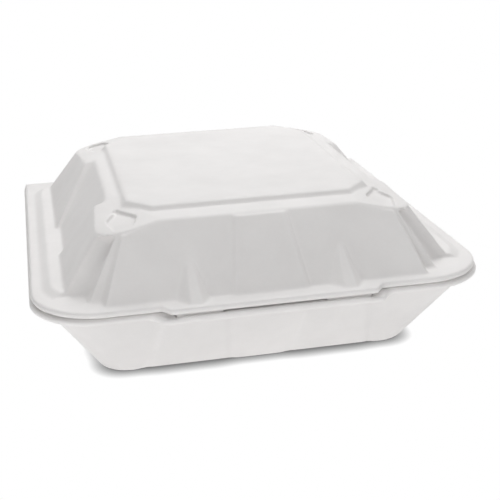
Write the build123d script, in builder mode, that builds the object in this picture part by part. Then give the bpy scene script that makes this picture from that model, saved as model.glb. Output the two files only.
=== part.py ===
"""Hinged-lid takeaway container, moulded in one shot from white expanded polystyrene foam sheet.

A square base tray and a lid that folds over it along a straight hinge at the back. Both halves are
shells of one wall thickness: each is an outer form with the same form, set in by the wall, taken out.

The frame: +X to the right, +Y to the hinge, -Y to the lock at the front, +Z up. The origin is the middle
of the tray's feet, on the surface that they stand on. Millimetres.
"""
from build123d import *
import os
from math import atan, cos, degrees, hypot, radians, sin

os.makedirs("parts", exist_ok=True)

# Foam sheet and fits
foam_wall = 2.4
closing_gap = 0.3
tongue_clearance = 0.35

# Flanges, which meet at the parting plane and thin down to the crease of the hinge
parting_height = 46.5
flange_thickness = 3.3
flange_half_width = 114.5
flange_half_depth = 115.0
flange_corner = 33.0
flange_round = 1.3
flange_chamfer = 0.5
base_flange_overhang = 1.4
base_flange_thickness = 3.7
crease_run = 9.0
crease_thickness = 1.0

# Shoulder that both halves have just inside the flange
shoulder_flat = 5.5
lid_shoulder_inset = 11.0
shoulder_run = 4.5
shoulder_rise = 2.2
shoulder_corner = 27.5

# Lid walls, from the shoulder up to the ledge round the raised top
lid_foot_half_width = 98.4
lid_foot_inset = 13.5
ledge_half_width = 76.8
ledge_setback = 15.5
lid_corner = 18.0
ledge_side_round = 5.0
ledge_front_round = 2.2

# Raised top of the lid, an octagon
closed_height = 85.5
top_rise = 2.5
top_half_width = 62.8
top_margin_depth = 15.2
top_chamfer_width = 11.6
top_chamfer_depth = 12.4
top_step_slope = 40.0
top_round = 1.2

# Sloping platform cut across each corner of the lid, with its leaf-shaped recess, whose points count
# inwards from the corner of the ledge
platform_edge_x = 50.0
platform_turn = 22.0
platform_slope = 13.0
leaf_side_start = (7.2, 28.0)
leaf_side_end = (2.6, 8.5)
leaf_tip = (6.6, 2.6)
leaf_front_start = (17.4, 12.2)
leaf_corner_round = 1.2
leaf_tip_round = 3.4
leaf_depth = 1.7

# Flute that runs down each corner of the lid from just below its platform
flute_lip = 1.2
flute_top_radius = 5.0
flute_foot_radius = 9.8
flute_top_offset = -3.2
flute_foot_offset = -1.0

# Recess in each side wall of the lid: it flares towards the top, more to the back than to the front
recess_foot_depth = 2.6
recess_top_depth = 5.2
recess_front_foot = 37.5
recess_front_top = 45.0
recess_rear_foot = 3.0
recess_rear_top = 34.0
recess_bank = 32.0

# Buttress in the middle of the lid's front wall
buttress_top_half_width = 13.3
buttress_foot_half_width = 19.4
buttress_top_drop = 1.0
buttress_top_proud = 1.8
buttress_foot_proud = 8.6
buttress_round = 1.5

# Two conical gussets that stiffen the lid above its lock tongues
gusset_spread = 38.0
gusset_height = 12.8
gusset_foot_radius = 8.2
gusset_tip_radius = 1.6
gusset_foot_proud = 1.0
gusset_hollow_shrink = 0.4

# Lock: strip on the lid's front edge, two down-turned tongues, and the slotted lip of the base
strip_half_width = 50.5
strip_reach = 5.0
strip_end_run = 6.0
tongue_inner = 25.5
tongue_outer = 48.0
tongue_thickness = 2.6
tongue_depth = 4.2
tongue_setback = 1.7
lip_half_width = 53.5
lip_reach = 6.2
lip_drop = 1.2
lip_height = 3.6
lip_end_run = 7.0
lock_round = 1.0

# Hinge: the crease is a thin bead along the back edge of the base, on the hinge axis
hinge_bead_radius = 0.8
hinge_clearance = 0.3

# Base tray walls
base_top_half_width = 104.9
base_top_inset = 10.1
base_foot_half_width = 82.1
base_foot_setback = 24.3
base_corner = 19.0
base_foot_round = 2.2

# Feet: the underside is raised between the corner feet and the foot in the middle of each side
arch_rise = 1.3
arch_inner = 17.0
arch_outer = 59.5
arch_ramp = 6.0

# Shallow pilasters on the base walls above the raised stretches
pilaster_proud = 1.1
pilaster_foot_inner = 15.0
pilaster_top_inner = 19.5
pilaster_foot_outer = 60.5
pilaster_top_outer = 53.0
pilaster_bank = 50.0

# Depths that follow from the flange
lid_shoulder_depth = flange_half_depth - lid_shoulder_inset
lid_foot_half_depth = flange_half_depth - lid_foot_inset
ledge_half_depth = lid_foot_half_depth - ledge_setback
top_half_depth = ledge_half_depth - top_margin_depth
base_top_half_depth = flange_half_depth - base_top_inset
base_foot_half_depth = base_top_half_depth - base_foot_setback

# Heights and slopes that follow from the sizes above
ledge_height = closed_height - top_rise
half_gap = closing_gap / 2
lid_flange_low = parting_height + half_gap
lid_flange_top = parting_height + flange_thickness
lid_foot_height = lid_flange_top + shoulder_rise
base_flange_top = parting_height - half_gap
base_flange_low = parting_height - base_flange_thickness
base_wall_top = base_flange_low - shoulder_rise
overcut = 6.0
reach = 2 * flange_half_width
side_draft = (lid_foot_half_width - ledge_half_width) / (ledge_height - lid_foot_height)
front_draft = (lid_foot_half_depth - ledge_half_depth) / (ledge_height - lid_foot_height)
base_side_draft = (base_top_half_width - base_foot_half_width) / base_wall_top
base_front_draft = (base_top_half_depth - base_foot_half_depth) / base_wall_top
tongue_middle = flange_half_depth + strip_reach - tongue_setback - tongue_thickness / 2
corners = [(-1, -1), (1, -1), (1, 1), (-1, 1)]


def level(thickness, draft):
    """Level width of a sheet that leans by draft for each unit of height."""
    return thickness * hypot(1, draft)


def lid_half_width(height, inset=0):
    """Half width of the lid between its side walls."""
    return lid_foot_half_width - (height - lid_foot_height) * side_draft - level(inset, side_draft)


def lid_half_depth(height, inset=0):
    """Half depth of the lid between its front and rear walls."""
    return lid_foot_half_depth - (height - lid_foot_height) * front_draft - level(inset, front_draft)


def base_half_width(height, inset=0):
    """Half width of the base between its side walls."""
    return base_foot_half_width + height * base_side_draft - level(inset, base_side_draft)


def base_half_depth(height, inset=0):
    """Half depth of the base between its front and rear walls."""
    return base_foot_half_depth + height * base_front_draft - level(inset, base_front_draft)


def walled_block(low, high, half_width, half_depth, corner):
    """Block with four leaning flat sides and round corners: two crossed prisms."""
    with BuildPart() as block:
        with BuildSketch(Plane.XZ):
            with BuildLine():
                Polyline(
                    (-half_width(low), low),
                    (half_width(low), low),
                    (half_width(high), high),
                    (-half_width(high), high),
                    close=True,
                )
            make_face()
        extrude(amount=reach, both=True)
        with BuildSketch(Plane.YZ):
            with BuildLine():
                Polyline(
                    (-half_depth(low), low),
                    (half_depth(low), low),
                    (half_depth(high), high),
                    (-half_depth(high), high),
                    close=True,
                )
            make_face()
        extrude(amount=reach, both=True, mode=Mode.INTERSECT)
        upright = block.edges().filter_by(lambda e: abs(e.tangent_at(0.5).Z) > 0.3)
        fillet(upright, corner)
    return block.part


def flange_plate(half_width, front_depth, rear_depth, low, high, outer_height):
    """Flat flange with large round corners at the front and square ones at the hinge."""
    with BuildPart() as plate:
        with BuildSketch(Plane.XY.offset(low)) as outline:
            with BuildLine():
                Polyline(
                    (-half_width, -front_depth),
                    (half_width, -front_depth),
                    (half_width, rear_depth),
                    (-half_width, rear_depth),
                    close=True,
                )
            make_face()
            fillet(outline.vertices().group_by(Axis.Y)[0], flange_corner)
        extrude(amount=high - low)
        rims = plate.edges().filter_by(lambda e: abs(e.tangent_at(0.5).Z) < 0.5)
        rims = rims.filter_by(lambda e: e.center().Y < rear_depth - half_gap)
        fillet(rims.filter_by(lambda e: abs(e.center().Z - outer_height) < half_gap), flange_round)
        chamfer(rims.filter_by(lambda e: abs(e.center().Z - outer_height) > half_gap), flange_chamfer)
    return plate.part


def crease_cutter(flange_face, crease_face, rear_depth):
    """Wedge over the back of a flange that thins it down to the crease of the hinge."""
    away = overcut if crease_face < flange_face else -overcut
    with BuildPart() as cutter:
        with BuildSketch(Plane.YZ):
            with BuildLine():
                Polyline(
                    (rear_depth - crease_run, flange_face),
                    (rear_depth + crease_run, 2 * crease_face - flange_face),
                    (rear_depth + crease_run, flange_face + away),
                    (rear_depth - crease_run, flange_face + away),
                    close=True,
                )
            make_face()
        extrude(amount=reach, both=True)
    return cutter.part


def shoulder_block(half_width, half_depth, corner, low, high, turned_over):
    """Shoulder: a low step with sloping sides, wide at the flange and narrower at the wall."""
    start = high if turned_over else low
    with BuildPart() as shoulder:
        with BuildSketch(Plane.XY.offset(start)):
            RectangleRounded(2 * half_width, 2 * half_depth, corner)
        rise = low - high if turned_over else high - low
        extrude(amount=rise, taper=degrees(atan(shoulder_run / shoulder_rise)))
    return shoulder.part


def front_strip(half_width, end_run, inner, outer, low, high, rounded_height):
    """Strip across the front whose ends slant back."""
    with BuildPart() as strip:
        with BuildSketch(Plane.XY.offset(low)):
            with BuildLine():
                Polyline(
                    (-half_width - end_run, -inner),
                    (-half_width, -outer),
                    (half_width, -outer),
                    (half_width + end_run, -inner),
                    close=True,
                )
            make_face()
        extrude(amount=high - low)
        front = strip.edges().filter_by(Axis.X).group_by(Axis.Y)[0]
        fillet(front.filter_by(lambda e: abs(e.center().Z - rounded_height) < half_gap), lock_round)
    return strip.part


def platform_plane(sign_x, sign_y, lowered):
    """Plane of a corner platform: its x direction falls outwards, mostly to the side."""
    turn = radians(platform_turn)
    fall = radians(platform_slope)
    outwards = Vector(sign_x * cos(turn), sign_y * sin(turn), 0)
    downhill = outwards * cos(fall) - Vector(0, 0, sin(fall))
    normal = outwards * sin(fall) + Vector(0, 0, cos(fall))
    edge = Vector(sign_x * platform_edge_x, sign_y * ledge_half_depth, ledge_height)
    return Plane(origin=edge - normal * lowered, x_dir=downhill, z_dir=normal)


def above_platforms(lowered):
    """All that lies above the four corner platforms."""
    with BuildPart() as above:
        for sign_x, sign_y in corners:
            with BuildSketch(platform_plane(sign_x, sign_y, lowered)):
                with Locations((reach / 4, 0)):
                    Rectangle(reach / 2, reach)
            extrude(amount=ledge_half_width / 3)
    return above.part


def leaf_pockets(inset):
    """Leaf-shaped recesses in the platforms: a straight inner end and a rounded tip at the corner."""
    with BuildPart() as pockets:
        for sign_x, sign_y in corners:
            outline = [
                (sign_x * (ledge_half_width - x), sign_y * (ledge_half_depth - y))
                for x, y in (leaf_side_start, leaf_side_end, leaf_tip, leaf_front_start)
            ]
            with BuildSketch(Plane.XY.offset(lid_foot_height)) as leaf:
                with BuildLine():
                    Polyline(*outline, close=True)
                make_face()
                if inset:
                    offset(amount=inset)
                else:
                    ends = leaf.vertices().sort_by(lambda v: abs(v.X) + abs(v.Y))
                    fillet(ends[:2], leaf_corner_round)
                    tips = leaf.vertices().sort_by(lambda v: abs(v.X) + abs(v.Y))
                    fillet(tips[-2:], leaf_tip_round)
            extrude(amount=closed_height - lid_foot_height)
        add(above_platforms(leaf_depth + inset), mode=Mode.INTERSECT)
    return pockets.part


def cone_between(low_point, low_radius, high_point, high_radius):
    """Round cone along the line through two points."""
    axis = high_point - low_point
    with BuildPart() as cone:
        with Locations(Plane(origin=low_point, z_dir=axis)):
            Cone(low_radius, high_radius, axis.length, align=(Align.CENTER, Align.CENTER, Align.MIN))
    return cone.part


def flute_centre(sign_x, sign_y, height, offset_out):
    """Point outside a corner of the lid's walls, along its diagonal."""
    return Vector(
        sign_x * (lid_half_width(height) + offset_out),
        sign_y * (lid_half_depth(height) + offset_out),
        height,
    )


def corner_flutes(inset):
    """Grooves down the lid's corners, from just below the platforms to the top of the flange."""
    low = lid_foot_height - overcut
    spread = (flute_foot_radius - flute_top_radius) / (ledge_height - lid_foot_height)
    drift = (flute_foot_offset - flute_top_offset) / (ledge_height - lid_foot_height)
    with BuildPart() as flutes:
        for sign_x, sign_y in corners:
            add(cone_between(
                flute_centre(sign_x, sign_y, low, flute_foot_offset + drift * overcut),
                flute_foot_radius + spread * overcut + inset,
                flute_centre(sign_x, sign_y, ledge_height, flute_top_offset),
                flute_top_radius + inset,
            ))
        add(above_platforms(flute_lip - inset), mode=Mode.SUBTRACT)
        with BuildSketch(Plane.XY.offset(lid_flange_top - inset)):
            Rectangle(2 * reach, 2 * reach)
        extrude(amount=reach, mode=Mode.INTERSECT)
    return flutes.part


def side_recesses(inset):
    """Recesses in the side walls, with a flat floor and sloping banks."""
    foot = Vector(lid_half_width(lid_foot_height) - recess_foot_depth, 0, lid_foot_height)
    head = Vector(lid_half_width(ledge_height) - recess_top_depth, 0, ledge_height)
    slant = head - foot
    rear_flare = recess_rear_top - recess_rear_foot
    front_flare = recess_front_top - recess_front_foot
    below = shoulder_rise / slant.length
    above = 1 + overcut / slant.length
    with BuildPart() as recesses:
        for sign in (-1, 1):
            normal = Vector(sign * slant.Z, 0, -slant.X).normalized()
            origin = Vector(sign * foot.X, 0, foot.Z) - normal * inset
            with BuildSketch(Plane(origin=origin, x_dir=(0, sign, 0), z_dir=normal)):
                with BuildLine():
                    Polyline(
                        (-sign * (recess_front_foot - below * front_flare), -below * slant.length),
                        (sign * (recess_rear_foot - below * rear_flare), -below * slant.length),
                        (sign * (recess_rear_foot + above * rear_flare), above * slant.length),
                        (-sign * (recess_front_foot + above * front_flare), above * slant.length),
                        close=True,
                    )
                make_face()
                if inset:
                    offset(amount=inset, kind=Kind.INTERSECTION)
            extrude(amount=ledge_half_width / 3, taper=-recess_bank)
    return recesses.part


def raised_top(inset):
    """Octagonal raised top of the lid, with sloping steps all round."""
    half_width = top_half_width - inset
    half_depth = top_half_depth - inset
    right = [
        (half_width - top_chamfer_width, -half_depth),
        (half_width, -half_depth + top_chamfer_depth),
        (half_width, half_depth - top_chamfer_depth),
        (half_width - top_chamfer_width, half_depth),
    ]
    left = [(-x, y) for x, y in reversed(right)]
    height = closed_height - inset
    with BuildPart() as top:
        with BuildSketch(Plane(origin=(0, 0, height), x_dir=(1, 0, 0), z_dir=(0, 0, -1))):
            with BuildLine():
                Polyline(*right, *left, close=True)
            make_face()
        extrude(amount=2 * (closed_height - ledge_height), taper=-top_step_slope)
        if not inset:
            fillet(top.faces().sort_by(Axis.Z)[-1].edges(), top_round)
    return top.part


def front_buttress(inset):
    """Flat-faced buttress down the middle of the lid's front wall."""
    foot = lid_flange_low
    head = ledge_height - buttress_top_drop - inset
    foot_front = lid_half_depth(lid_flange_top) + buttress_foot_proud
    head_front = lid_half_depth(head + inset) + buttress_top_proud
    draft = (foot_front - head_front) / (head + inset - lid_flange_top)
    foot_front += (lid_flange_top - foot) * draft
    setback = level(inset, draft)
    head_front += inset * draft
    with BuildPart() as buttress:
        with BuildSketch(Plane.YZ):
            with BuildLine():
                Polyline(
                    (0, foot),
                    (setback - foot_front, foot),
                    (setback - head_front, head),
                    (0, head),
                    close=True,
                )
            make_face()
        extrude(amount=reach, both=True)
        with BuildSketch(Plane.XZ):
            with BuildLine():
                Polyline(
                    (inset - buttress_foot_half_width, foot),
                    (buttress_foot_half_width - inset, foot),
                    (buttress_top_half_width - inset, head),
                    (inset - buttress_top_half_width, head),
                    close=True,
                )
            make_face()
        extrude(amount=reach, both=True, mode=Mode.INTERSECT)
        if not inset:
            front = buttress.faces().sort_by(Axis.Y)[0]
            fillet(front.edges().sort_by(Axis.Z)[1:], buttress_round)
    return buttress.part


def lock_gussets(inset):
    """Conical gussets at the foot of the lid's front wall, one above each tongue."""
    tip = lid_flange_top + gusset_height
    growth = gusset_foot_radius - gusset_tip_radius
    shrink = gusset_hollow_shrink * inset
    back = level(inset, front_draft)
    foot_y = back - lid_half_depth(lid_flange_top) - gusset_foot_proud
    with BuildPart() as gussets:
        for sign in (-1, 1):
            foot = Vector(sign * gusset_spread, foot_y, lid_flange_top)
            peak = Vector(sign * gusset_spread, back - lid_half_depth(tip), tip)
            add(cone_between(
                foot * 2 - peak,
                gusset_foot_radius + growth - shrink,
                peak - (peak - foot) * (shrink / growth),
                gusset_tip_radius,
            ))
        front = tongue_middle - tongue_thickness / 2 - inset if inset else reach
        with BuildSketch(Plane.XY.offset(lid_flange_low if inset else lid_flange_top - half_gap)):
            with Locations((0, reach / 2 - front)):
                Rectangle(reach, reach)
        extrude(amount=tip, mode=Mode.INTERSECT)
    return gussets.part


def lid_form(inset):
    """Form of the lid above its flange: the outer one at no inset, the cavity at the sheet's thickness."""
    low = lid_foot_height if not inset else lid_flange_low - overcut
    with BuildPart() as form:
        add(walled_block(
            low - shoulder_rise,
            ledge_height - inset,
            lambda height: lid_half_width(height, inset),
            lambda height: lid_half_depth(height, inset),
            lid_corner - inset,
        ))
        if not inset:
            rim = form.faces().sort_by(Axis.Z)[-1].edges()
            fillet(rim.filter_by(Axis.X), ledge_front_round)
        add(above_platforms(inset), mode=Mode.SUBTRACT)
        add(side_recesses(inset), mode=Mode.SUBTRACT)
        add(corner_flutes(inset), mode=Mode.SUBTRACT)
        add(raised_top(inset))
        add(front_buttress(inset))
        add(lock_gussets(inset))
        add(leaf_pockets(inset), mode=Mode.SUBTRACT)
    return form.part


def pilasters(inset):
    """Shallow pilasters on the four base walls above the raised stretches of the underside."""
    sink = pilaster_proud / 2
    walls = [
        (Vector(0, -1, 0), base_foot_half_depth, base_front_draft),
        (Vector(1, 0, 0), base_foot_half_width, base_side_draft),
        (Vector(0, 1, 0), base_foot_half_depth, base_front_draft),
        (Vector(-1, 0, 0), base_foot_half_width, base_side_draft),
    ]
    with BuildPart() as blocks:
        for outwards, foot, draft in walls:
            normal = (outwards - Vector(0, 0, draft)).normalized()
            along = Vector(-outwards.Y, outwards.X, 0)
            slope = hypot(1, draft)
            origin = outwards * foot - normal * (sink + inset)
            low = arch_rise * slope + inset
            high = base_wall_top * slope
            with BuildSketch(Plane(origin=origin, x_dir=along, z_dir=normal)):
                for end in (-1, 1):
                    with BuildLine():
                        Polyline(
                            (end * pilaster_foot_inner, low),
                            (end * pilaster_foot_outer, low),
                            (end * pilaster_top_outer, high),
                            (end * pilaster_top_inner, high),
                            close=True,
                        )
                    make_face()
            extrude(amount=pilaster_proud + sink, taper=pilaster_bank)
    return blocks.part


def arch_channels(lift):
    """Channels across the underside, which leave a foot at each corner, mid-side and in the middle."""
    with BuildPart() as channels:
        for plane in (Plane.XZ, Plane.YZ):
            for side in (-1, 1):
                with BuildSketch(plane):
                    with BuildLine():
                        Polyline(
                            (side * (arch_inner - arch_ramp), lift - overcut),
                            (side * (arch_inner - arch_ramp), lift),
                            (side * arch_inner, lift + arch_rise),
                            (side * arch_outer, lift + arch_rise),
                            (side * (arch_outer + arch_ramp), lift),
                            (side * (arch_outer + arch_ramp), lift - overcut),
                            close=True,
                        )
                    make_face()
                extrude(amount=reach, both=True)
    return channels.part


# Shoulder sizes at the two flange faces and on the inner side of the sheet
shoulder_pitch = shoulder_run / shoulder_rise
shoulder_spread = level(foam_wall, 1 / shoulder_pitch) * shoulder_pitch
shoulder_width = flange_half_width - shoulder_flat
shoulder_depth = flange_half_depth - shoulder_flat
lid_edge_spread = (lid_flange_top - lid_flange_low) * shoulder_pitch
base_edge_spread = (base_flange_top - base_flange_low) * shoulder_pitch

# Pieces of the lid
lid_rear = flange_half_depth - hinge_bead_radius - hinge_clearance
lid_flange = flange_plate(
    flange_half_width, flange_half_depth, lid_rear, lid_flange_low, lid_flange_top, lid_flange_top
)
lid_crease = crease_cutter(lid_flange_top, lid_flange_low + crease_thickness, lid_rear)
lid_shoulder = shoulder_block(
    shoulder_width, lid_shoulder_depth, shoulder_corner, lid_flange_top, lid_foot_height, False
)
lid_shoulder_hollow = shoulder_block(
    shoulder_width + lid_edge_spread - shoulder_spread,
    lid_shoulder_depth + lid_edge_spread - shoulder_spread,
    shoulder_corner + lid_edge_spread - shoulder_spread,
    lid_flange_low,
    lid_foot_height - foam_wall,
    False,
)
lock_strip = front_strip(
    strip_half_width,
    strip_end_run,
    flange_half_depth - 2 * flange_round,
    flange_half_depth + strip_reach,
    lid_flange_low,
    lid_flange_top,
    lid_flange_top,
)
lid_outer = lid_form(0)
lid_cavity = lid_form(foam_wall)
tongue_centres = [(side * (tongue_inner + tongue_outer) / 2, -tongue_middle) for side in (-1, 1)]

with BuildPart() as lid_shoulder_void:
    add(lid_shoulder_hollow)
    add(corner_flutes(foam_wall), mode=Mode.SUBTRACT)

with BuildPart() as lid:
    add(lid_flange)
    add(lid_crease, mode=Mode.SUBTRACT)
    add(lid_shoulder)
    add(lock_strip)
    add(lid_outer)
    add(corner_flutes(0), mode=Mode.SUBTRACT)
    add(lid_shoulder_void.part, mode=Mode.SUBTRACT)
    add(lid_cavity, mode=Mode.SUBTRACT)
    with BuildSketch(Plane.XY.offset(parting_height - tongue_depth)):
        with Locations(*tongue_centres):
            Rectangle(tongue_outer - tongue_inner, tongue_thickness)
    extrude(amount=tongue_depth + flange_thickness / 2)

lid.part.label = "lid"
export_step(lid.part, "parts/lid.step")

# Pieces of the base
base_flange = flange_plate(
    flange_half_width + base_flange_overhang,
    flange_half_depth + base_flange_overhang / 2,
    flange_half_depth,
    base_flange_low,
    base_flange_top,
    base_flange_low,
)
base_crease = crease_cutter(base_flange_low, base_flange_top - crease_thickness, flange_half_depth)
base_shoulder = shoulder_block(
    shoulder_width, shoulder_depth, shoulder_corner, base_wall_top, base_flange_low, True
)
base_shoulder_void = shoulder_block(
    shoulder_width + base_edge_spread - shoulder_spread,
    shoulder_depth + base_edge_spread - shoulder_spread,
    shoulder_corner + base_edge_spread - shoulder_spread,
    base_wall_top + foam_wall,
    base_flange_top,
    True,
)
base_walls = walled_block(0, base_wall_top + shoulder_rise, base_half_width, base_half_depth, base_corner)
base_cavity = walled_block(
    foam_wall,
    base_flange_top + overcut,
    lambda height: base_half_width(height, foam_wall),
    lambda height: base_half_depth(height, foam_wall),
    base_corner - foam_wall,
)
lip = front_strip(
    lip_half_width,
    lip_end_run,
    flange_half_depth - 2 * flange_round,
    flange_half_depth + lip_reach,
    parting_height - lip_drop - lip_height,
    parting_height - lip_drop,
    parting_height - lip_drop - lip_height,
)

with BuildPart() as base_void:
    add(base_cavity)
    fillet(base_void.faces().sort_by(Axis.Z)[0].edges(), base_foot_round)
    add(pilasters(foam_wall))
    add(arch_channels(foam_wall), mode=Mode.SUBTRACT)

with BuildPart() as base:
    add(base_walls)
    fillet(base.faces().sort_by(Axis.Z)[0].edges(), base_foot_round)
    add(pilasters(0))
    add(arch_channels(0), mode=Mode.SUBTRACT)
    add(base_flange)
    add(base_crease, mode=Mode.SUBTRACT)
    add(base_shoulder)
    add(lip)
    add(base_shoulder_void, mode=Mode.SUBTRACT)
    add(base_void.part, mode=Mode.SUBTRACT)
    with BuildSketch(Plane.XY.offset(base_flange_low - overcut)):
        with Locations(*tongue_centres):
            Rectangle(
                tongue_outer - tongue_inner + 2 * tongue_clearance,
                tongue_thickness + 2 * tongue_clearance,
            )
    extrude(amount=base_flange_thickness + 2 * overcut, mode=Mode.SUBTRACT)
    with BuildSketch(Plane.YZ.offset(-flange_half_width)):
        with Locations((flange_half_depth, parting_height)):
            Circle(hinge_bead_radius)
    extrude(amount=2 * flange_half_width)

base.part.label = "base"
export_step(base.part, "parts/base.step")
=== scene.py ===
"""Looks of a white foam hinged-lid takeaway container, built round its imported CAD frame.

The two halves and the hinge are one sheet of expanded polystyrene, so all pieces share one finish.
The mould leaves every edge of such foam a little soft. Each half is a copy of its CAD node, rebuilt on a
fine even mesh and smoothed: the base strongly all over, and the lid lightly, except beside its raised top.
Foam is added to the copies first, where the moulding is fuller than the solid: the lid's front wall, the
ridges of its two gussets, the rim of the base's lip and the base's corners. The leaf-shaped recesses of
the lid are filled and cut anew.
"""

import logging
import math
from dataclasses import dataclass, field
from enum import Enum

import bmesh
import bpy
from mathutils import Matrix, Vector


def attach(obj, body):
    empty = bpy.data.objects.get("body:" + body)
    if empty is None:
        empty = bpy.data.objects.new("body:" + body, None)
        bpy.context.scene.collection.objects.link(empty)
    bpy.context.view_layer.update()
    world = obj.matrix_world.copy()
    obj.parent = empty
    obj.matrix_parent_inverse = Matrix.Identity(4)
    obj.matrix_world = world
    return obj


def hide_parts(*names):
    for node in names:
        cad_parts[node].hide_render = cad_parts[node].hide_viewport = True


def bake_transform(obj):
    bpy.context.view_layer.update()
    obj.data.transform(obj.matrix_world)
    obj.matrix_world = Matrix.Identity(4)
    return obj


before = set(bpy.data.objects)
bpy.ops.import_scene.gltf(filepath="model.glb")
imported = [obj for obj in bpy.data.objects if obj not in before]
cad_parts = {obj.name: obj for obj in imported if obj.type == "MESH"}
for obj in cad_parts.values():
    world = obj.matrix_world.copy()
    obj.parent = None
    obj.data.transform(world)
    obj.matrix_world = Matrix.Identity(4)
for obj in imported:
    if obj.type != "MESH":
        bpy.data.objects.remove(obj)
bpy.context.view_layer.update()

MM = 0.001
IMAGE_PIXELS = 500
PURE_WHITE = "FFFFFF"
SMOOTH_FACTOR = 0.5
FRONT_AND_UP = Vector((0, -1, 1))
BOTH_SIDES = (-1, 1)
CORNERS = tuple((side_x, side_y) for side_x in BOTH_SIDES for side_y in BOTH_SIDES)

MeshPart = bmesh.types.BMVert | bmesh.types.BMEdge | bmesh.types.BMFace

log = logging.getLogger("foam_container")


class Side(Enum):
    """The two moving halves of the container, by the name of their body."""

    TRAY = "tray"
    COVER = "cover"


def linear(code: str) -> tuple[float, float, float, float]:
    """Turn an sRGB hex colour into linear RGBA.

    Args:
        code: Six hex digits, with or without a leading hash.

    Returns:
        Red, green, blue and an alpha of one, all linear.
    """
    digits = code.lstrip("#")
    channels = [int(digits[i:i + 2], 16) / 255 for i in (0, 2, 4)]
    curve = [c / 12.92 if c <= 0.04045 else ((c + 0.055) / 1.055) ** 2.4 for c in channels]
    return (curve[0], curve[1], curve[2], 1.0)


def pattern_scale(feature_mm: float) -> float:
    """Return the texture scale that gives features of this size on Object coordinates in metres."""
    return 1.0 / (feature_mm * MM)


def direction(azimuth: float, elevation: float) -> Vector:
    """Return the unit vector that points from the container to a place round it.

    Args:
        azimuth: Degrees from straight in front towards the left.
        elevation: Degrees above the horizon.

    Returns:
        The direction, on axes where the front faces minus y and the left is minus x.
    """
    turn, rise = math.radians(azimuth), math.radians(elevation)
    level = math.cos(rise)
    return Vector((-math.sin(turn) * level, -math.cos(turn) * level, math.sin(rise)))


def add_node(
    tree: bpy.types.NodeTree,
    kind: str,
    settings: dict[str, object] | None = None,
    inputs: dict[str, object] | None = None,
) -> bpy.types.Node:
    """Add one shader node with its settings, constants and links.

    Args:
        tree: Node tree that gets the node.
        kind: Blender's type name of the node.
        settings: Properties of the node itself.
        inputs: Input sockets by name or index; an output socket is linked and a constant is set.

    Returns:
        The new node.
    """
    node = tree.nodes.new(kind)
    for name, value in (settings or {}).items():
        setattr(node, name, value)
    for name, value in (inputs or {}).items():
        socket = node.inputs[name]
        if isinstance(value, bpy.types.NodeSocket):
            tree.links.new(value, socket)
        else:
            socket.default_value = value
    return node


def empty_material(name: str) -> tuple[bpy.types.Material, bpy.types.NodeTree]:
    """Create a material with an empty node tree.

    Args:
        name: Name of the material.

    Returns:
        The material and its node tree.
    """
    material = bpy.data.materials.new(name)
    material.use_nodes = True
    material.node_tree.nodes.clear()
    return material, material.node_tree


def seen_directly(tree: bpy.types.NodeTree) -> bpy.types.NodeSocket:
    """Add the nodes that tell the camera's rays, and those mirrored or let through, from the rest.

    Args:
        tree: Node tree that gets the nodes.

    Returns:
        A socket that is one for such rays and nought for the diffuse ones that carry the light.
    """
    rays = add_node(tree, "ShaderNodeLightPath")
    mirrored = add_node(tree, "ShaderNodeMath", {"operation": "MAXIMUM"}, {
        0: rays.outputs["Is Camera Ray"], 1: rays.outputs["Is Glossy Ray"],
    })
    seen = add_node(tree, "ShaderNodeMath", {"operation": "MAXIMUM"}, {
        0: mirrored.outputs["Value"], 1: rays.outputs["Is Transmission Ray"],
    })
    return seen.outputs["Value"]


def placed(name: str, data: bpy.types.ID) -> bpy.types.Object:
    """Return a new object with this data, in the scene and at the origin."""
    item = bpy.data.objects.new(name, data)
    bpy.context.scene.collection.objects.link(item)
    return item


def link_object(name: str, mesh: bpy.types.Mesh, material: bpy.types.Material) -> bpy.types.Object:
    """Put a mesh into the scene as a smooth-shaded object at the origin.

    Args:
        name: Name of the object.
        mesh: Its mesh, with the place in its vertices.
        material: The one material that it gets.

    Returns:
        The new object.
    """
    mesh.materials.clear()
    mesh.materials.append(material)
    mesh.polygons.foreach_set("use_smooth", [True] * len(mesh.polygons))
    return placed(name, mesh)


def applied_mesh(piece: bpy.types.Object) -> bpy.types.Mesh:
    """Return a new mesh of the object with its modifiers worked in."""
    graph = bpy.context.evaluated_depsgraph_get()
    return bpy.data.meshes.new_from_object(piece.evaluated_get(graph))


def mesh_of(name: str, shape: bmesh.types.BMesh) -> bpy.types.Mesh:
    """Return a new mesh with what a bmesh holds, and free the bmesh."""
    mesh = bpy.data.meshes.new(name)
    shape.to_mesh(mesh)
    shape.free()
    return mesh


def only(kind: type, parts: list[MeshPart]) -> list[MeshPart]:
    """Return the parts of one kind, such as the vertices, out of what an operator gives back."""
    return [part for part in parts if isinstance(part, kind)]


def add_smoothing(block: bpy.types.Object, name: str, rounds: int) -> bpy.types.SmoothModifier:
    """Add a modifier that relaxes the surface of a block.

    Args:
        block: Object that gets the modifier.
        name: Name of the modifier.
        rounds: How many times each vertex moves towards the middle of its neighbours.

    Returns:
        The modifier, which works on the whole block unless it is given a vertex group.
    """
    smoothing = block.modifiers.new(name, "SMOOTH")
    smoothing.factor = SMOOTH_FACTOR
    smoothing.iterations = rounds
    return smoothing


def thicken(
    shape: bmesh.types.BMesh, faces: list[bmesh.types.BMFace], outwards: Vector, thickness_mm: float
) -> None:
    """Turn an open skin into a closed plate that lies behind it.

    Args:
        shape: Mesh that holds the skin.
        faces: The skin's faces, joined to nothing else.
        outwards: Rough direction of the side that shows.
        thickness_mm: Thickness of the plate.
    """
    bmesh.ops.recalc_face_normals(shape, faces=faces)
    facing = sum((face.normal * face.calc_area() for face in faces), Vector())
    if facing.dot(outwards) < 0:
        bmesh.ops.reverse_faces(shape, faces=faces)
    bmesh.ops.solidify(shape, geom=faces, thickness=thickness_mm * MM)


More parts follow.
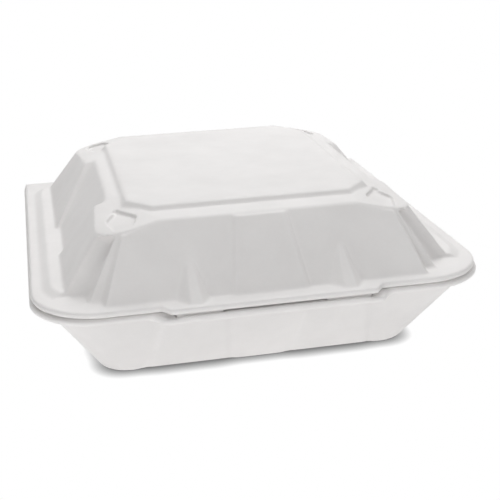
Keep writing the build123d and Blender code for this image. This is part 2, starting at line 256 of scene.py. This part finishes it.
def join_into(shape: bmesh.types.BMesh, part: bmesh.types.BMesh) -> None:
    """Add a closed part to a mesh, with its faces turned outwards.

    Args:
        shape: Mesh that gets the part.
        part: The part, which is freed.
    """
    bmesh.ops.recalc_face_normals(part, faces=part.faces)
    mesh = mesh_of("part", part)
    shape.from_mesh(mesh)
    bpy.data.meshes.remove(mesh)


@dataclass(frozen=True)
class MouldedFoam:
    """Expanded polystyrene sheet, pressed between warm moulds.

    The moulding closes the beads into a smooth matt skin. Close up, the beads still show as a faint
    net of shallow seams, and from further off as a slight unevenness of the white. The grain stands for
    the foam's cells. They are a few tenths of a millimetre wide, too fine for the picture, so it is drawn
    coarser than real.

    Attributes:
        white: Colour where the skin is whitest.
        shade: Colour in the seams and where the skin is dullest.
        bead_mm: Size of a bead.
        seam_reach: Distance from a seam at which its dip ends, as a share of a bead.
        seam_share: How much the seams count in the unevenness, next to the clouds.
        cloud_mm: Size of the patches in the white.
        colour_range: Values of the unevenness that give the shade and the white.
        gloss_range: Values of the clouds that give the dullest and the glossiest skin.
        grain_mm: Size of the grain.
        roughness_spread: How far the roughness goes to each side of its middle.
        refraction: Below the 1.59 of solid polystyrene, for the weak gloss of this skin.
        depth_mm: How far light goes into the foam, alike for all three colours.
    """

    white: str = "EFEDEC"
    shade: str = "EAE8E7"
    bead_mm: float = 2.6
    seam_reach: float = 0.18
    seam_share: float = 0.07
    cloud_mm: float = 24.0
    cloud_detail: float = 3.0
    cloud_roughness: float = 0.6
    colour_range: tuple[float, float] = (0.3, 0.75)
    gloss_range: tuple[float, float] = (0.3, 0.7)
    grain_mm: float = 0.7
    grain_detail: float = 2.0
    bead_height_mm: float = 0.02
    grain_height_mm: float = 0.02
    bump_strength: float = 0.5
    roughness: float = 0.62
    roughness_spread: float = 0.05
    refraction: float = 1.45
    sheen_gloss: float = 0.35
    depth_mm: float = 1.6
    depth_share: float = 0.12

    def material(self) -> bpy.types.Material:
        """Build the foam's material.

        Returns:
            The material, procedural throughout.
        """
        material, tree = empty_material("expanded_polystyrene_moulded_skin")
        place = add_node(tree, "ShaderNodeTexCoord").outputs["Object"]
        clouds = add_node(tree, "ShaderNodeTexNoise", {}, {
            "Vector": place, "Scale": pattern_scale(self.cloud_mm),
            "Detail": self.cloud_detail, "Roughness": self.cloud_roughness,
        })
        beads = add_node(tree, "ShaderNodeTexVoronoi", {"feature": "DISTANCE_TO_EDGE"}, {
            "Vector": place, "Scale": pattern_scale(self.bead_mm),
        })
        grain = add_node(tree, "ShaderNodeTexNoise", {}, {
            "Vector": place, "Scale": pattern_scale(self.grain_mm), "Detail": self.grain_detail,
        })
        seams = add_node(tree, "ShaderNodeMapRange", {}, {
            "Value": beads.outputs["Distance"], "From Min": 0.0, "From Max": self.seam_reach,
            "To Min": 0.0, "To Max": 1.0,
        })
        mottle = add_node(tree, "ShaderNodeMath", {"operation": "MULTIPLY_ADD"}, {
            0: seams.outputs["Result"], 1: self.seam_share, 2: clouds.outputs["Fac"],
        })
        share = add_node(tree, "ShaderNodeMapRange", {}, {
            "Value": mottle.outputs["Value"],
            "From Min": self.colour_range[0], "From Max": self.colour_range[1],
        })
        colour = add_node(tree, "ShaderNodeMix", {"data_type": "RGBA"}, {
            0: share.outputs["Result"], 6: linear(self.shade), 7: linear(self.white),
        })
        dull = add_node(tree, "ShaderNodeMapRange", {}, {
            "Value": clouds.outputs["Fac"],
            "From Min": self.gloss_range[0], "From Max": self.gloss_range[1],
            "To Min": self.roughness + self.roughness_spread,
            "To Max": self.roughness - self.roughness_spread,
        })
        bead_bump = add_node(tree, "ShaderNodeBump", {}, {
            "Height": seams.outputs["Result"], "Strength": self.bump_strength,
            "Distance": self.bead_height_mm * MM,
        })
        grain_bump = add_node(tree, "ShaderNodeBump", {}, {
            "Height": grain.outputs["Fac"], "Strength": self.bump_strength,
            "Distance": self.grain_height_mm * MM, "Normal": bead_bump.outputs["Normal"],
        })
        skin = add_node(tree, "ShaderNodeBsdfPrincipled", {}, {
            "Base Color": colour.outputs[2],
            "Roughness": dull.outputs["Result"],
            "Normal": grain_bump.outputs["Normal"],
            "IOR": self.refraction,
            "Specular IOR Level": self.sheen_gloss,
            "Subsurface Weight": self.depth_share,
            "Subsurface Radius": (1.0, 1.0, 1.0),
            "Subsurface Scale": self.depth_mm * MM,
        })
        add_node(tree, "ShaderNodeOutputMaterial", {}, {"Surface": skin.outputs["BSDF"]})
        return material


@dataclass(frozen=True)
class SoftZone:
    """Part of a half where the mould is softer than elsewhere, as a box that fades out at its faces.

    Attributes:
        low: Lowest corner, in millimetres; x and y count from the middle of the object, to both sides.
        high: Highest corner, in millimetres.
        fade: Width of the fade outside the box, in millimetres.
        weight: Strength of the smoothing inside it.
    """

    low: tuple[float, float, float]
    high: tuple[float, float, float]
    fade: float
    weight: float = 1.0

    def share(self, place: Vector) -> float:
        """Return how much of the extra smoothing a point gets, from nought to the weight."""
        spot = (abs(place.x) / MM, abs(place.y) / MM, place.z / MM)
        gap = max(max(low - s, s - high) for low, s, high in zip(self.low, spot, self.high))
        if gap >= self.fade:
            return 0.0
        return self.weight if gap <= 0 else self.weight * (1 - gap / self.fade)


@dataclass(frozen=True)
class FrontMoulding:
    """Moulding along the front of a half: a plate of one section behind a run of straight steps.

    Attributes:
        profile: Points of its front from top to bottom, as y and z in millimetres.
        half_length: Half of its length along the front, in millimetres.
        thickness: Thickness of the foam behind the front, in millimetres.
    """

    profile: tuple[tuple[float, float], ...]
    half_length: float
    thickness: float

    def add(self, shape: bmesh.types.BMesh) -> None:
        """Add the moulding to a half.

        Args:
            shape: Mesh of the half.
        """
        line = [shape.verts.new(Vector((-self.half_length, y, z)) * MM) for y, z in self.profile]
        rim = [shape.edges.new(pair) for pair in zip(line, line[1:])]
        grown = bmesh.ops.extrude_edge_only(shape, edges=rim)["geom"]
        along = Vector((2 * self.half_length * MM, 0, 0))
        bmesh.ops.translate(shape, verts=only(bmesh.types.BMVert, grown), vec=along)
        thicken(shape, only(bmesh.types.BMFace, grown), FRONT_AND_UP, self.thickness)


@dataclass(frozen=True)
class FrontWall:
    """Foam that brings the lid's front wall forward, more towards its foot, between the corner flutes.

    Attributes:
        edge: Right half of the wall's outline from top to bottom, as half width and height.
        ledge: Depth and height of the line where the wall leaves the ledge.
        lean: How far the wall comes forward for each millimetre that it falls.
        cad_lean: The same for the CAD solid's wall behind it.
        sunk: How far the foam reaches into the CAD solid's wall.
        flare: How much wider it is at the back than at the front.
    """

    edge: tuple[tuple[float, float], ...] = ((50.0, 82.2), (69.0, 77.4), (80.5, 49.8))
    ledge: tuple[float, float] = (86.4, 82.6)
    lean: float = 0.706
    cad_lean: float = 0.5
    sunk: float = 1.2
    flare: float = 0.6

    def add(self, shape: bmesh.types.BMesh) -> None:
        """Add the foam to the lid.

        Args:
            shape: Mesh of the lid.
        """
        wall = bmesh.new()
        depth, ledge_height = self.ledge
        for half_width, height in self.edge:
            fall = ledge_height - height
            for side in BOTH_SIDES:
                front = Vector((side * half_width, -(depth + fall * self.lean), height))
                wide = side * (half_width + self.flare)
                back = Vector((wide, -(depth + fall * self.cad_lean - self.sunk), height))
                wall.verts.new(front * MM)
                wall.verts.new(back * MM)
        bmesh.ops.convex_hull(wall, input=list(wall.verts))
        join_into(shape, wall)


@dataclass(frozen=True)
class GussetRidge:
    """Flat sloping ridge with a straight flank on each side, over one of the lid's two gussets.

    Attributes:
        middle_x: Where its middle stands along the front, in millimetres.
        top: The upper end of the ridge, as y and z in millimetres.
        foot: The lower end of the ridge, as y and z in millimetres.
        flank: The lower corner of each flank, as y and z in millimetres.
        top_half_width: Half width of the ridge at its top, in millimetres.
        foot_half_width: Half width of the ridge at its foot, in millimetres.
        flank_half_width: Distance from the middle to the far edge of a flank, in millimetres.
        thickness: Thickness of the foam behind it, in millimetres.
    """

    middle_x: float
    top: tuple[float, float] = (-98.1, 66.2)
    foot: tuple[float, float] = (-117.4, 49.9)
    flank: tuple[float, float] = (-108.6, 49.9)
    top_half_width: float = 1.2
    foot_half_width: float = 2.9
    flank_half_width: float = 8.8
    thickness: float = 1.6

    def add(self, shape: bmesh.types.BMesh) -> None:
        """Add the ridge to the lid.

        Args:
            shape: Mesh of the lid.
        """
        pairs = {
            "top": (self.top_half_width, self.top),
            "foot": (self.foot_half_width, self.foot),
            "flank": (self.flank_half_width, self.flank),
        }
        spots = {
            (name, side): shape.verts.new(Vector((self.middle_x + side * half, y, z)) * MM)
            for name, (half, (y, z)) in pairs.items()
            for side in BOTH_SIDES
        }
        ridge = [spots["top", -1], spots["foot", -1], spots["foot", 1], spots["top", 1]]
        faces = [shape.faces.new(ridge)]
        for side in BOTH_SIDES:
            faces.append(shape.faces.new([spots[name, side] for name in ("top", "flank", "foot")]))
        thicken(shape, faces, FRONT_AND_UP, self.thickness)


@dataclass(frozen=True)
class FootCorner:
    """Tighter outer corner of the base's walls, as a curved plate from the foot up to the flange.

    Attributes:
        side_x: Which side it stands on: minus one for the left and one for the right.
        side_y: Minus one for the front and one for the back.
        low: Half width, half depth and height of the walls' planes at the foot, in millimetres.
        high: The same at the top.
        radius: Radius of the corner, in millimetres.
        steps: Number of straight steps in the curve.
        thickness: Thickness of the plate, in millimetres.
    """

    side_x: int
    side_y: int
    low: tuple[float, float, float] = (82.6, 81.2, 1.1)
    high: tuple[float, float, float] = (104.0, 104.0, 39.2)
    radius: float = 13.5
    steps: int = 8
    thickness: float = 2.0

    def arc(self, shape: bmesh.types.BMesh, level: tuple[float, float, float]) -> list[bmesh.types.BMEdge]:
        """Add the quarter circle of the corner at one level.

        Args:
            shape: Mesh that gets it.
            level: Half width, half depth and height of the walls' planes at this level.

        Returns:
            Its edges, from one end to the other.
        """
        half_width, half_depth, height = level
        centre = Vector((half_width - self.radius, half_depth - self.radius, height)) * MM
        centre.x *= self.side_x
        centre.y *= self.side_y
        first = shape.verts.new(centre + Vector((self.side_x * self.radius * MM, 0, 0)))
        spun = bmesh.ops.spin(
            shape, geom=[first], cent=centre, axis=(0, 0, self.side_x * self.side_y),
            angle=math.pi / 2, steps=self.steps,
        )
        vertex = only(bmesh.types.BMVert, spun["geom_last"])[0]
        edges = []
        while vertex is not first:
            edge = next(e for e in vertex.link_edges if e not in edges)
            edges.append(edge)
            vertex = edge.other_vert(vertex)
        return edges

    def add(self, shape: bmesh.types.BMesh) -> None:
        """Add the corner to the base.

        Args:
            shape: Mesh of the base.
        """
        edges = self.arc(shape, self.low) + self.arc(shape, self.high)
        faces = bmesh.ops.bridge_loops(shape, edges=edges)["faces"]
        thicken(shape, faces, Vector((self.side_x, self.side_y, 0)), self.thickness)


@dataclass(frozen=True)
class LeafRecess:
    """Leaf-shaped recess in the sloping platform at one corner of the lid, closed and cut anew.

    Attributes:
        side_x: Which side it is on: minus one for the left and one for the right.
        side_y: Minus one for the front and one for the back.
        outline: The leaf in plan, in millimetres from the middle of the lid.
        platform_edge: A point where the platform starts: x, y and height in millimetres.
        turn: Direction in which it falls, in degrees from the side towards the front.
        slope: Its slope in degrees.
        depth: Depth of the recess in millimetres.
        tip_round: Width of the rounding at the leaf's points, in millimetres.
        tip_steps: Number of straight steps in each rounding.
        plug_root: How far the foam that closes the old recess reaches below the new floor.
        plug_inset: How much smaller than the leaf that foam is, as a share of its size.
        cut_height: How far the cut starts above the platform, in millimetres.
    """

    side_x: int
    side_y: int
    outline: tuple[tuple[float, float], ...] = (
        (59.4, 73.8), (68.1, 60.8), (75.2, 70.5), (72.0, 84.2), (62.5, 83.4),
    )
    platform_edge: tuple[float, float, float] = (50.0, 86.0, 83.0)
    turn: float = 22.0
    slope: float = 13.0
    depth: float = 1.7
    tip_round: float = 2.0
    tip_steps: int = 4
    plug_root: float = 0.6
    plug_inset: float = 0.04
    cut_height: float = 4.0

    def block(self, low: float, high: float, size: float = 1.0) -> bmesh.types.BMesh:
        """Model a leaf-shaped block between two surfaces parallel to the platform.

        Args:
            low: Height of its underside over the platform, in millimetres.
            high: Height of its top over the platform, in millimetres.
            size: Its size in plan, as a share of the leaf's.

        Returns:
            A new bmesh that holds nothing else.
        """
        turn, fall = math.radians(self.turn), math.tan(math.radians(self.slope))
        edge_x, edge_y, edge_height = self.platform_edge
        middle_x = sum(x for x, _ in self.outline) / len(self.outline)
        middle_y = sum(y for _, y in self.outline) / len(self.outline)
        shape = bmesh.new()
        ring = []
        for corner_x, corner_y in self.outline:
            x = middle_x + (corner_x - middle_x) * size
            y = middle_y + (corner_y - middle_y) * size
            down = (x - edge_x) * math.cos(turn) + (y - edge_y) * math.sin(turn)
            height = edge_height - down * fall + low
            ring.append(shape.verts.new(Vector((self.side_x * x, self.side_y * y, height)) * MM))
        shape.faces.new(ring)
        bmesh.ops.bevel(
            shape, geom=ring, offset=self.tip_round * MM, offset_type="OFFSET", segments=self.tip_steps,
            profile=0.5, affect="VERTICES", material=-1,
        )
        grown = bmesh.ops.extrude_face_region(shape, geom=list(shape.faces))["geom"]
        upwards = Vector((0, 0, (high - low) * MM))
        bmesh.ops.translate(shape, verts=only(bmesh.types.BMVert, grown), vec=upwards)
        return shape

    def add(self, shape: bmesh.types.BMesh) -> None:
        """Close the CAD solid's recess with foam, up to the platform.

        Args:
            shape: Mesh of the lid.
        """
        join_into(shape, self.block(-self.depth - self.plug_root, 0.0, 1 - self.plug_inset))

    def cut_from(self, cutter: bmesh.types.BMesh) -> None:
        """Add this recess to the form that is cut out of the lid.

        Args:
            cutter: Mesh of that form.
        """
        join_into(cutter, self.block(-self.depth, self.cut_height))


FoamAddition = FrontMoulding | FrontWall | GussetRidge | FootCorner | LeafRecess


@dataclass
class FoamHalf:
    """One half of the container: its CAD node, rebuilt with the soft edges of moulded foam.

    Attributes:
        name: Name of the piece.
        node: CAD node that it stands in for.
        side: Body that it rides on.
        zones: Parts that get the extra smoothing; without any, the whole half gets it.
        additions: Foam that is added to the node's form.
        recesses: Recesses that are closed and cut anew.
        voxel_mm: Cell size of the even mesh.
        edge_rounds: Rounds of smoothing that every edge gets.
        zone_rounds: Rounds of the extra smoothing.
        weld_mm: Distance below which vertices of the node's mesh are one.
        most_triangles: Number of triangles above which the mesh is thinned.
    """

    name: str
    node: str
    side: Side
    zones: list[SoftZone] = field(default_factory=list)
    additions: list[FoamAddition] = field(default_factory=list)
    recesses: list[LeafRecess] = field(default_factory=list)
    voxel_mm: float = 0.62
    quick_voxel_mm: float = 1.2
    edge_rounds: int = 2
    zone_rounds: int = 40
    weld_mm: float = 0.002
    most_triangles: int = 190_000

    def merged_copy(self) -> bpy.types.Mesh:
        """Return a copy of the CAD node's mesh, joined up, with the additions that overlap it."""
        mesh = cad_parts[self.node].data.copy()
        shape = bmesh.new()
        shape.from_mesh(mesh)
        bmesh.ops.remove_doubles(shape, verts=shape.verts, dist=self.weld_mm * MM)
        for addition in [*self.additions, *self.recesses]:
            addition.add(shape)
        shape.to_mesh(mesh)
        shape.free()
        return mesh

    def cutter(self) -> bpy.types.Object:
        """Return an object that holds all that is cut out of this half after its additions."""
        shape = bmesh.new()
        for recess in self.recesses:
            recess.cut_from(shape)
        name = f"{self.name}_cutter"
        return placed(name, mesh_of(name, shape))

    def even_out(self, block: bpy.types.Object) -> None:
        """Add the modifier that rebuilds the surface as one closed skin of even cells."""
        cells = block.modifiers.new("even_mesh", "REMESH")
        cells.mode = "VOXEL"
        cells.voxel_size = self.voxel_mm * MM

    def even_block(self) -> bpy.types.Object:
        """Model this half as one closed skin of even square cells.

        The even mesh joins the additions to the half wherever they overlap it. The recesses are cut
        after that, and a second even mesh closes the skin along their edges.

        Returns:
            An object with that mesh and without modifiers.
        """
        block = placed(f"{self.name}_block", self.merged_copy())
        block.data.materials.clear()
        self.even_out(block)
        cutter = self.cutter()
        if self.recesses:
            cut = block.modifiers.new("recesses", "BOOLEAN")
            cut.operation = "DIFFERENCE"
            cut.object = cutter
            self.even_out(block)
        even = applied_mesh(block)
        block.modifiers.clear()
        block.data = even
        bpy.data.objects.remove(cutter)
        return block

    def zone_group(self, block: bpy.types.Object) -> bpy.types.VertexGroup:
        """Weight the vertices by the zones that they lie in.

        Args:
            block: Object with the even mesh.

        Returns:
            The block's new vertex group.
        """
        group = block.vertex_groups.new(name="soft_mould")
        for vertex in block.data.vertices:
            share = max(zone.share(vertex.co) for zone in self.zones)
            if share > 0:
                group.add([vertex.index], share, "REPLACE")
        return group

    def build(self, finish: bpy.types.Material) -> bpy.types.Object:
        """Model this half and put it in place of its CAD node.

        Args:
            finish: The foam's material.

        Returns:
            The finished piece, riding on its body.
        """
        block = self.even_block()
        extra = add_smoothing(block, "soft_zones", self.zone_rounds)
        if self.zones:
            extra.vertex_group = self.zone_group(block).name
        add_smoothing(block, "soft_edges", self.edge_rounds)
        triangles = 2 * len(block.data.polygons)
        if triangles > self.most_triangles:
            thin = block.modifiers.new("fewer_triangles", "DECIMATE")
            thin.ratio = self.most_triangles / triangles
        final = applied_mesh(block)
        final.name = self.name
        bpy.data.objects.remove(block)

        piece = link_object(self.name, final, finish)
        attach(piece, self.side.value)
        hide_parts(self.node)
        log.info("%s: %d triangles", self.name, sum(len(p.vertices) - 2 for p in final.polygons))
        return piece


@dataclass
class HingeWeb:
    """The outer skin of the fold, which runs from the tray's flange round the crease to the lid's.

    Attributes:
        half_length_mm: Half of its length along the crease.
        axis_y_mm: Where the crease lies, from the middle to the back.
        axis_z_mm: Height of the crease.
        radius_mm: Radius of the skin round the crease.
        tail_mm: How far each end of the skin reaches from the crease into its flange.
        tail_rise_mm: How much deeper in its flange each end lies than at the crease.
        thickness_mm: Thickness of the skin.
        weld_mm: Distance below which vertices are one.
        arc_steps: Number of straight steps round the crease.
        length_steps: Number of steps along it.
    """

    half_length_mm: float = 113.6
    axis_y_mm: float = 115.0
    axis_z_mm: float = 46.5
    radius_mm: float = 0.8
    tail_mm: float = 2.6
    tail_rise_mm: float = 0.5
    thickness_mm: float = 0.3
    weld_mm: float = 0.001
    arc_steps: int = 14
    length_steps: int = 24

    def build(self, finish: bpy.types.Material) -> bpy.types.Object:
        """Model the web round the crease.

        Args:
            finish: The foam's material.

        Returns:
            The finished piece.
        """
        axis = Vector((0, self.axis_y_mm, self.axis_z_mm)) * MM
        start = Vector((-self.half_length_mm, self.axis_y_mm, self.axis_z_mm - self.radius_mm)) * MM
        tail = Vector((0, -self.tail_mm, -self.tail_rise_mm)) * MM
        shape = bmesh.new()
        low_tail = shape.verts.new(start + tail)
        low = shape.verts.new(start)
        shape.edges.new((low_tail, low))
        arc = bmesh.ops.spin(
            shape, geom=[low], cent=axis, axis=(1, 0, 0), angle=math.pi, steps=self.arc_steps
        )
        high = only(bmesh.types.BMVert, arc["geom_last"])[0]
        grown = bmesh.ops.extrude_vert_indiv(shape, verts=[high])
        bmesh.ops.translate(shape, verts=grown["verts"], vec=Vector((0, tail.y, -tail.z)))
        rim = list(shape.edges)
        step = Vector((2 * self.half_length_mm * MM / self.length_steps, 0, 0))
        for _ in range(self.length_steps):
            moved = bmesh.ops.extrude_edge_only(shape, edges=rim)["geom"]
            bmesh.ops.translate(shape, verts=only(bmesh.types.BMVert, moved), vec=step)
            rim = only(bmesh.types.BMEdge, moved)
        bmesh.ops.remove_doubles(shape, verts=shape.verts, dist=self.weld_mm * MM)
        bmesh.ops.recalc_face_normals(shape, faces=shape.faces)
        bmesh.ops.solidify(shape, geom=list(shape.faces), thickness=self.thickness_mm * MM)
        bmesh.ops.recalc_face_normals(shape, faces=shape.faces)
        mesh = mesh_of("hinge_web", shape)

        web = link_object("hinge_web", mesh, finish)
        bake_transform(web)
        log.info("hinge_web: %d faces", len(mesh.polygons))
        return web


@dataclass(frozen=True)
class FoamContainer:
    """The whole moulding: the lid, the base and the skin of the fold between them.

    Attributes:
        gusset_x: Distance of each gusset from the middle of the lid, in millimetres.
        side_ledge: The ledge on both sides of the raised top, where the lid is softest.
        lip_rim: Rim on the base's lip, which brings it closer to the lock strip.
    """

    gusset_x: float = 38.0
    side_ledge: SoftZone = SoftZone(low=(66.0, 0.0, 76.0), high=(90.0, 44.0, 90.0), fade=8.0)
    lip_rim: FrontMoulding = FrontMoulding(
        profile=((-121.0, 46.25), (-121.0, 44.4)), half_length=46.5, thickness=2.1
    )

    def lid(self) -> FoamHalf:
        """Return the lid, with its front wall, its gussets' ridges and its leaf recesses."""
        ridges = [GussetRidge(side * self.gusset_x) for side in BOTH_SIDES]
        leaves = [LeafRecess(side_x, side_y) for side_x, side_y in CORNERS]
        return FoamHalf("foam_lid", "lid", Side.COVER, [self.side_ledge], [FrontWall(), *ridges], leaves)

    def base(self) -> FoamHalf:
        """Return the base, with the rim of its lip and its corners; it is soft all over."""
        corners = [FootCorner(side_x, side_y) for side_x, side_y in CORNERS]
        return FoamHalf("foam_base", "base", Side.TRAY, additions=[self.lip_rim, *corners])

    def build(self, finish: bpy.types.Material) -> None:
        """Build the three pieces.

        Args:
            finish: The foam's material.
        """
        self.lid().build(finish)
        self.base().build(finish)
        HingeWeb().build(finish)


@dataclass(frozen=True)
class SoftBox:
    """A large soft lamp, aimed at the middle of the container.

    Attributes:
        name: Name of the lamp.
        azimuth: Direction it stands in, in degrees; nought is in front and ninety to the left.
        elevation: Its height above the horizon, in degrees.
        distance: Distance from the container, in metres.
        size: Width of the lamp, in metres.
        watts: Power of the lamp.
    """

    name: str
    azimuth: float
    elevation: float
    distance: float
    size: float
    watts: float

    def build(self, aim: Vector) -> bpy.types.Object:
        """Place the lamp and turn it to its aim.

        Args:
            aim: Point that the lamp faces.

        Returns:
            The lamp.
        """
        outwards = direction(self.azimuth, self.elevation)
        data = bpy.data.lights.new(self.name, "AREA")
        data.shape = "SQUARE"
        data.size = self.size
        data.energy = self.watts
        lamp = placed(self.name, data)
        lamp.location = aim + outwards * self.distance
        lamp.rotation_euler = outwards.to_track_quat("Z", "Y").to_euler()
        return lamp


@dataclass
class Studio:
    """White seamless floor, white background and soft lamps.

    The camera sees the floor as plain white with only a painted contact shadow: an emission that
    darkens within a few millimetres of the container, from ambient occlusion rather than the lamps. To the
    container it is matt paper, which gives back the lamps' light and adds a painted glow of its own.

    Attributes:
        aim: Point that the lamps face, in metres.
        floor_half_m: Half of the floor's width.
        floor_cells: Number of the floor's cells along each side.
        floor_white: Colour of the paper.
        floor_glow: Painted glow: soft light that the paper gives off besides what it gives back.
        shadow_reach_mm: Width of the painted contact shadow.
        shadow_samples: Rays for each point of the contact shadow.
        shadow_dark: Brightness of the painted shadow where the container covers the floor.
        shadow_open: Openness at which the floor is plain white.
        ambient: Light of the room itself.
        lamps: The lamps.
    """

    aim: tuple[float, float, float] = (0.0, 0.0, 0.045)
    floor_half_m: float = 3.0
    floor_cells: int = 8
    floor_white: str = "F4F4F4"
    floor_glow: float = 0.30
    shadow_reach_mm: float = 7.0
    shadow_samples: int = 24
    shadow_dark: float = 0.12
    shadow_open: float = 0.9
    ambient: float = 0.0
    lamps: tuple[SoftBox, ...] = (
        SoftBox("back_box", 180.0, 59.0, 1.2, 0.8, 8.5),
        SoftBox("back_right_box", 225.0, 60.0, 1.2, 0.8, 4.7),
        SoftBox("front_left_box", 40.0, 16.0, 1.2, 0.8, 4.6),
        SoftBox("front_right_fill", 325.0, 30.0, 1.2, 0.8, 3.3),
    )

    def floor_material(self) -> bpy.types.Material:
        """Build the floor's finish: matt white paper, with a painted contact shadow for the camera.

        Returns:
            The material; it gives back soft light and a painted glow, and the camera sees it as white with
            the painted shadow.
        """
        material, tree = empty_material("white_paper_sweep")
        paper = add_node(tree, "ShaderNodeBsdfDiffuse", {}, {"Color": linear(self.floor_white)})
        # Painted glow: the paper gives off light of its own, so the container gets more light from below
        # than the paper gives back.
        paper_glow = add_node(tree, "ShaderNodeEmission", {}, {
            "Color": linear(PURE_WHITE), "Strength": self.floor_glow,
        })
        lit = add_node(tree, "ShaderNodeAddShader", {}, {
            0: paper.outputs["BSDF"], 1: paper_glow.outputs["Emission"],
        })
        # Painted contact shadow: the camera sees an emission that darkens near the container, by ambient
        # occlusion, not a shadow of the lamps.
        near = add_node(tree, "ShaderNodeAmbientOcclusion", {"samples": self.shadow_samples}, {
            "Distance": self.shadow_reach_mm * MM,
        })
        shade = add_node(tree, "ShaderNodeMapRange", {}, {
            "Value": near.outputs["AO"], "From Min": 0.0, "From Max": self.shadow_open,
            "To Min": self.shadow_dark, "To Max": 1.0,
        })
        painted_contact_shadow = add_node(tree, "ShaderNodeEmission", {}, {
            "Color": linear(PURE_WHITE), "Strength": shade.outputs["Result"],
        })
        both = add_node(tree, "ShaderNodeMixShader", {}, {
            0: seen_directly(tree), 1: lit.outputs["Shader"], 2: painted_contact_shadow.outputs["Emission"],
        })
        add_node(tree, "ShaderNodeOutputMaterial", {}, {"Surface": both.outputs["Shader"]})
        return material

    def build_floor(self) -> bpy.types.Object:
        """Lay the floor under the container.

        Returns:
            The floor.
        """
        shape = bmesh.new()
        bmesh.ops.create_grid(
            shape, x_segments=self.floor_cells, y_segments=self.floor_cells, size=self.floor_half_m
        )
        floor = link_object("floor", mesh_of("floor", shape), self.floor_material())
        return floor

    def build_world(self) -> bpy.types.World:
        """Surround the scene with soft light that the camera sees as plain white.

        Returns:
            The world.
        """
        world = bpy.data.worlds.new("white_room")
        world.use_nodes = True
        tree = world.node_tree
        tree.nodes.clear()
        strength = add_node(tree, "ShaderNodeMapRange", {}, {
            "Value": seen_directly(tree), "To Min": self.ambient, "To Max": 1.0,
        })
        room = add_node(tree, "ShaderNodeBackground", {}, {
            "Color": linear(PURE_WHITE), "Strength": strength.outputs["Result"],
        })
        add_node(tree, "ShaderNodeOutputWorld", {}, {"Surface": room.outputs["Background"]})
        bpy.context.scene.world = world
        return world

    def build(self) -> None:
        """Build floor, world and lamps."""
        self.build_floor()
        self.build_world()
        for lamp in self.lamps:
            lamp.build(Vector(self.aim))
        log.info("studio: %d lamps", len(self.lamps))


@dataclass(frozen=True)
class ViewCamera:
    """Camera at the photograph's viewing angle.

    Attributes:
        azimuth: Degrees to the left of straight in front.
        elevation: Degrees above the horizon.
        roll: Degrees that the picture is turned.
        distance: Metres from the target.
        target_height: Metres from the floor up to the target.
        focal_px: Focal length in pixels of the picture.
        centre_px: Where the target falls in the picture.
        sensor_mm: Width of the sensor.
        clip_start_m: Distance from which things are seen.
    """

    azimuth: float = 11.282
    elevation: float = 19.913
    roll: float = -1.4997
    distance: float = 0.5716087
    target_height: float = 0.040
    focal_px: float = 966.065
    centre_px: tuple[float, float] = (226.023, 234.834)
    sensor_mm: float = 36.0
    clip_start_m: float = 0.01

    def build(self) -> bpy.types.Object:
        """Place the camera and make it the scene's.

        Returns:
            The camera.
        """
        turn, roll = math.radians(self.azimuth), math.radians(self.roll)
        back = direction(self.azimuth, self.elevation)
        right = Vector((math.cos(turn), -math.sin(turn), 0))
        up = right.cross(-back)
        rolled_right = right * math.cos(roll) + up * math.sin(roll)
        rolled_up = up * math.cos(roll) - right * math.sin(roll)
        data = bpy.data.cameras.new("camera")
        data.sensor_width = self.sensor_mm
        data.lens = self.focal_px * self.sensor_mm / IMAGE_PIXELS
        middle = IMAGE_PIXELS / 2
        data.shift_x = (middle - self.centre_px[0]) / IMAGE_PIXELS
        data.shift_y = (self.centre_px[1] - middle) / IMAGE_PIXELS
        data.clip_start = self.clip_start_m
        camera = placed("camera", data)
        place = Vector((0, 0, self.target_height)) + back * self.distance
        turned = Matrix((rolled_right, rolled_up, back)).transposed().to_4x4()
        camera.matrix_world = Matrix.Translation(place) @ turned
        bpy.context.scene.camera = camera
        return camera


def main() -> None:
    """Build the camera, the container and the studio."""
    logging.basicConfig(level=logging.INFO, format="%(name)s: %(message)s")
    bpy.context.scene.view_settings.view_transform = "Standard"
    ViewCamera().build()
    FoamContainer().build(MouldedFoam().material())
    Studio().build()


if __name__ == "__main__":
    main()
